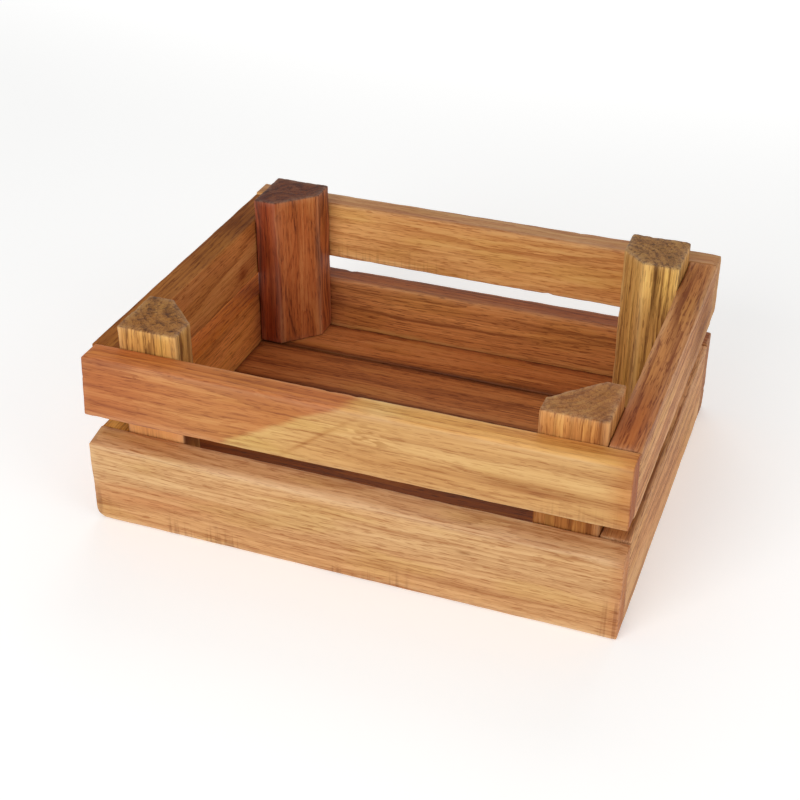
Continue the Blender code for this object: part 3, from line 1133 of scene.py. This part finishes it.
# %% Right slats
make_board("slat_right_upper", "end", {
    "heart": "rose", "pith": (65, -50), "ring": 5.0, "banding": 0.45, "streak": 0.5, "saw": 0.25,
    "top_tint_and_painted_light": (0.92, 0.80, 0.58), "gloss": 0.10, "sag": (3.2, 2.0),
    "stains_and_painted_light": (
        ("smear_and_light", (-112, 27.7, 72, 4.0, 0.0), 0.95, (0.71, 0.38, 0.20)),
        ("smear_and_light", (88, -1.3, 50, 30, 0.0), 0.95, (0.50, 0.35, 0.17)),
        ("smear_and_light", (-80, -11.3, 90, 10, 0.0), 0.70, (1.18, 1.20, 1.20)),
    ),
}, 17)
make_board("slat_right_lower", "end", {
    "heart": "rose", "pith": (-85, -20), "ring": 6.0, "banding": 0.45, "streak": 0.5, "saw": 0.25,
    # Painted light and shade on the ledge: its top edge is painted paler, and the strip under the upper slat
    # darker.
    "top_tint_and_painted_light": (1.25, 1.32, 1.40), "gloss": 0.10,
    "ledge_shade": (-9.8, -8.2, 10, -30, (0.52, 0.39, 0.26)),
}, 18)

# %% [markdown]
# The floor boards lie in the shade of the walls. Dust and oil have darkened the seams between them, two
# are worn pale on the right, and one is painted dark brown as painted shade: it makes the slot in the
# front wall look almost black. They differ so little otherwise that a loop makes them.

# %% Floor boards
# Painted shade: the second board is dark brown, for the shade that the front wall casts inside.
FLOOR_TIMBERS = ("russet", "shade_walnut", "russet", "russet", "chestnut")
WORN_PALE = ("smear_and_light", (100, 0, 42, 60, 0.0), 0.8, (1.25, 1.40, 1.40))
PALE_BOARDS = (2, 3)
FIRST_FLOOR_SEED = 21
for number, timber in enumerate(FLOOR_TIMBERS):
    make_board(f"floor_board_{number + 1}", "floor", {
        "heart": timber, "pith": (50 + 12 * number, 35 - 15 * number), "rub_and_highlight": -0.9, "saw": 0.2,
        "top_tint_and_painted_light": (1, 1, 1), "stains_and_painted_light": (WORN_PALE,) if number in PALE_BOARDS else (),
    }, FIRST_FLOOR_SEED + number)

# %% [markdown]
# ## Corner posts
# A post is square outside and has its inner edge cut off at 45 degrees. The cuts were made by hand and
# differ, so a fixed number would not do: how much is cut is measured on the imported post, as what it
# lacks in the diagonal direction. Its top is rough end grain.

# %% Measure a post


def post_corners(node, centre, half):
    """The five corners of a post's section, seen from above, and how much its inner edge is cut."""
    x_side = math.copysign(1, centre.x)
    y_side = math.copysign(1, centre.y)
    reach = max(-x_side * (v.co.x - centre.x) - y_side * (v.co.y - centre.y)
                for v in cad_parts[node].data.vertices)
    cut = half.x + half.y - reach
    corners = [(half.x, half.y), (-half.x, half.y), (-half.x, -half.y + cut),
               (-half.x + cut, -half.y), (half.x, -half.y)]
    corners = [(x_side * x, y_side * y) for x, y in corners]
    if x_side * y_side < 0:
        corners.reverse()
    return corners, cut


print("posts to measure:", len([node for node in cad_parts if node.startswith("post_")]))

# %% Make a post
POST_EDGE_RADIUS = 1.7 * MM
POST_SPACING = 2.4 * MM
POST_ALONG = 4.0 * MM
POST_CAP_RINGS = 14
POST_TOP_ROUGH = 0.45 * MM


def post_middle(edge):
    """The middle of a post's end face."""
    return np.repeat(edge.mean(axis=0)[None, :], len(edge), axis=0)


def make_post(node, look, seed):
    """A weathered post in the place of a packed one."""
    low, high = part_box(node)
    centre = (low + high) / 2
    half = (high - low) / 2
    corners, cut = post_corners(node, centre, half)
    section = rounded_section(corners, POST_EDGE_RADIUS, POST_SPACING, {})
    rows = loft_rows(2 * half.z, END_RADIUS, POST_ALONG, ())
    places, facings, nearness, faces = loft(section, rows, post_middle, POST_CAP_RINGS)
    places, arris = weather(places, facings, nearness, seed, POST_TOP_ROUGH)
    nowhere = np.zeros(len(places))
    marks = {
        "arris": arris, "end_face": np.abs(facings[:, 0]), "flank": np.abs(facings[:, 1]),
        "brad_stain": nowhere, "top_edge": nowhere,
    }
    material = wood_finish(f"{node}_wood", {**PLAIN_LOOK, **look}, seed)
    piece = make_piece(f"{node}_timber", places, faces, marks, "post", centre, material)
    attach(piece, node)
    print(node, len(piece.data.polygons), "faces, cut", round(cut / MM, 1), "mm")


print("the rough top of a post has", POST_CAP_RINGS, "rings of points")

# %% [markdown]
# The front posts rise behind the front wall, and show again in its gap: there the left one is an even
# brown-tan in front with painted shade on its sides, and the right one has painted shade on its front and
# sides. Both are yellow-brown with dark lines.

# %% Front posts
make_post("post_front_left", {
    "heart": "mustard", "dark_streaks": 0.75, "streaks_from": 5, "end_tint": (0.61, 0.50, 0.39),
    "pith": (40, 35), "saw": 0.0,
    "stains_and_painted_light": (
        # An even brown-tan over the front of the post in the gap, with no dark lines.
        ("cover", (-12, 0, 18, 90, 0.0), 0.85, on_screen((224, 154, 96))),
        # Painted shade: the sides of the post in the gap, under the upper slat.
        ("flank", (-13, -14, 18, 40, 0.0), 1.0, (0.20, 0.09, 0.04)),
    ),
}, 31)
make_post("post_front_right", {
    "heart": "amber", "dark_streaks": 0.40, "end_tint": (0.70, 0.64, 0.58), "pith": (-45, 30), "saw": 0.0,
    "stains_and_painted_light": (
        # Painted shade on the post in the gap under the upper slat: its front, then its sides.
        ("smear_and_light", (-14, -27, 17, 7, 0.0), 1.0, (0.60, 0.52, 0.42)),
        ("flank", (-14, -5, 17, 40, 0.0), 1.0, (0.86, 0.80, 0.55)),
    ),
}, 32)

# %% [markdown]
# The back left post is dark red heartwood that turns tawny along the ridge of its cut. The back right
# one is yellow and full of dark lines, and its front has a painted highlight near the top.

# %% Back posts
make_post("post_back_left", {
    "heart": "oxblood", "sap": "tawny", "sap_line": ((0, 0.7, 0.7), -20, 2), "dark_streaks": 0.45,
    "end_tint": (0.33, 0.28, 0.28), "pith": (22, -34), "ring": 4.0, "wander": 60, "banding": 1.1,
    "saw": 0.0,
}, 33)
make_post("post_back_right", {
    "heart": "mustard", "dark_streaks": 0.85, "end_tint": (0.60, 0.53, 0.47), "pith": (-40, -45), "saw": 0.0,
    # Painted highlight: the front is much paler near the top.
    "stains_and_painted_light": (("smear_and_light", (52, -27, 22, 5, 0.0), 0.9, (1.70, 2.00, 2.10)),),
}, 34)

# %% [markdown]
# ## Brads
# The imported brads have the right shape, so they stay as they are, under their filled holes. A plain grey
# would do for something so small, but anyone who takes a board off sees them, so they get dull steel
# with specks of rust.

# %% Brad steel
RUST_WAVES, RUST_EDGES, RUST_SEED = (900, 900, 900), (0.45, 0.62), 3
WIRE_GREY = on_screen((120, 112, 104))
RUST_BROWN = on_screen((98, 58, 36))
WIRE_SHINE, RUST_DULLS = 0.75, 0.6
WIRE_ROUGHNESS, RUST_ROUGHENS = 0.45, 0.3


def brad_finish():
    """Dull wire with a little rust."""
    finish = Finish("brad_dull_steel")
    place = finish.node("ShaderNodeTexCoord", {}, {}, "Object")
    specks = patches(finish, place, RUST_WAVES, RUST_SEED, RUST_EDGES, 2.0)
    return finish.wear({
        "Base Color": lay(finish, "MIX", specks, WIRE_GREY, RUST_BROWN),
        "Metallic": WIRE_SHINE - specks * RUST_DULLS,
        "Roughness": WIRE_ROUGHNESS + specks * RUST_ROUGHENS,
    })


brad_material = brad_finish()
for node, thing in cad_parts.items():
    if node.startswith("brad_"):
        thing.data.materials.clear()
        thing.data.materials.append(brad_material)
print("brads dressed:", len(brad_heads))

# %% [markdown]
# ## The floor of the studio
# The photograph is a cut-out on white. The crate could float in white too, but a pale floor keeps it
# grounded with a soft shadow. It glows a little, so that it stays almost white, except under the crate,
# where the glow would leak through the seams. Where the glow fades out at the crate's foot, the floor is
# darker, a painted shadow round the crate.

# %% Floor finish
PAPER_PALE, PAPER_ROUGHNESS = (0.88, 0.88, 0.87), 0.9
GLOW = 0.32
# Painted shadow: the glow fades out at the crate's foot, which darkens the floor there.
GLOW_STARTS = (0.88, 1.02)
GLOW_DOUBLES = (3.0, 12.0)


def floor_finish():
    """Pale paper that glows more the further it is from the crate, measured in half crates."""
    finish = Finish("pale_floor")
    x, y, _ = split(finish, finish.node("ShaderNodeTexCoord", {}, {}, "Object"))
    aside = x.math("ABSOLUTE") / cad_box[1].x
    away = aside.math("MAXIMUM", y.math("ABSOLUTE") / cad_box[1].y)
    glow = step(finish, away, *GLOW_STARTS) * GLOW + step(finish, away, *GLOW_DOUBLES) * GLOW
    return finish.wear({
        "Base Color": PAPER_PALE, "Roughness": PAPER_ROUGHNESS,
        "Emission Color": glow, "Emission Strength": 1.0,
    })


print("the floor's glow starts at", GLOW_STARTS[0], "of the crate's half size")

# %% Lay the floor
FLOOR_SIZE = 40.0
FLOOR_GAP = 0.2 * MM


def make_floor():
    """A plain pale floor that is not part of the crate."""
    mesh = bpy.data.meshes.new("studio_floor")
    half = FLOOR_SIZE / 2
    corners = [(-half, -half, 0), (half, -half, 0), (half, half, 0), (-half, half, 0)]
    mesh.from_pydata(corners, [], [(0, 1, 2, 3)])
    mesh.materials.append(floor_finish())
    floor = bpy.data.objects.new("studio_floor", mesh)
    bpy.context.scene.collection.objects.link(floor)
    floor.location.z = cad_box[0].z - FLOOR_GAP
    return floor


print("floor at", round(make_floor().location.z, 5))

# %% [markdown]
# ## Light
# The photograph has soft light from the front, slightly from the left, and no hard shadow. Lamps with a
# small face would draw hard edges, so each lamp is a large square: a key light gives the front its
# brightness, and weaker ones keep the sides and the back readable. A white sky fills the rest.

# %% Lamps
AIM = Vector((0.0, 0.0, 0.07))
LAMPS = {
    "key_light": {"azimuth": -14, "elevation": 26, "distance": 2.2, "size": 1.3, "power": 24.0},
    "side_fill": {"azimuth": 72, "elevation": 24, "distance": 2.4, "size": 1.6, "power": 11.0},
    "back_fill": {"azimuth": 190, "elevation": 40, "distance": 2.6, "size": 1.8, "power": 14.0},
}


def make_lamp(name, azimuth, elevation, distance, size, power):
    """A square soft light that faces the crate."""
    lamp = bpy.data.objects.new(name, bpy.data.lights.new(name, "AREA"))
    bpy.context.scene.collection.objects.link(lamp)
    turn, lift = math.radians(azimuth), math.radians(elevation)
    away = Vector((math.sin(turn) * math.cos(lift), -math.cos(turn) * math.cos(lift), math.sin(lift)))
    lamp.location = AIM + away * distance
    lamp.rotation_euler = away.to_track_quat("Z", "Y").to_euler()
    lamp.data.size = size
    lamp.data.energy = power


for name, values in LAMPS.items():
    make_lamp(name, **values)
print("lamps:", ", ".join(LAMPS))

# %% White sky
SKY_STRENGTH = 0.38
sky = bpy.data.worlds.new("white_room")
sky.use_nodes = True
background = sky.node_tree.nodes["Background"]
background.inputs["Color"].default_value = (1.0, 1.0, 1.0, 1.0)
background.inputs["Strength"].default_value = SKY_STRENGTH
bpy.context.scene.world = sky
bpy.context.scene.view_settings.view_transform = "Standard"
print("sky strength", SKY_STRENGTH)
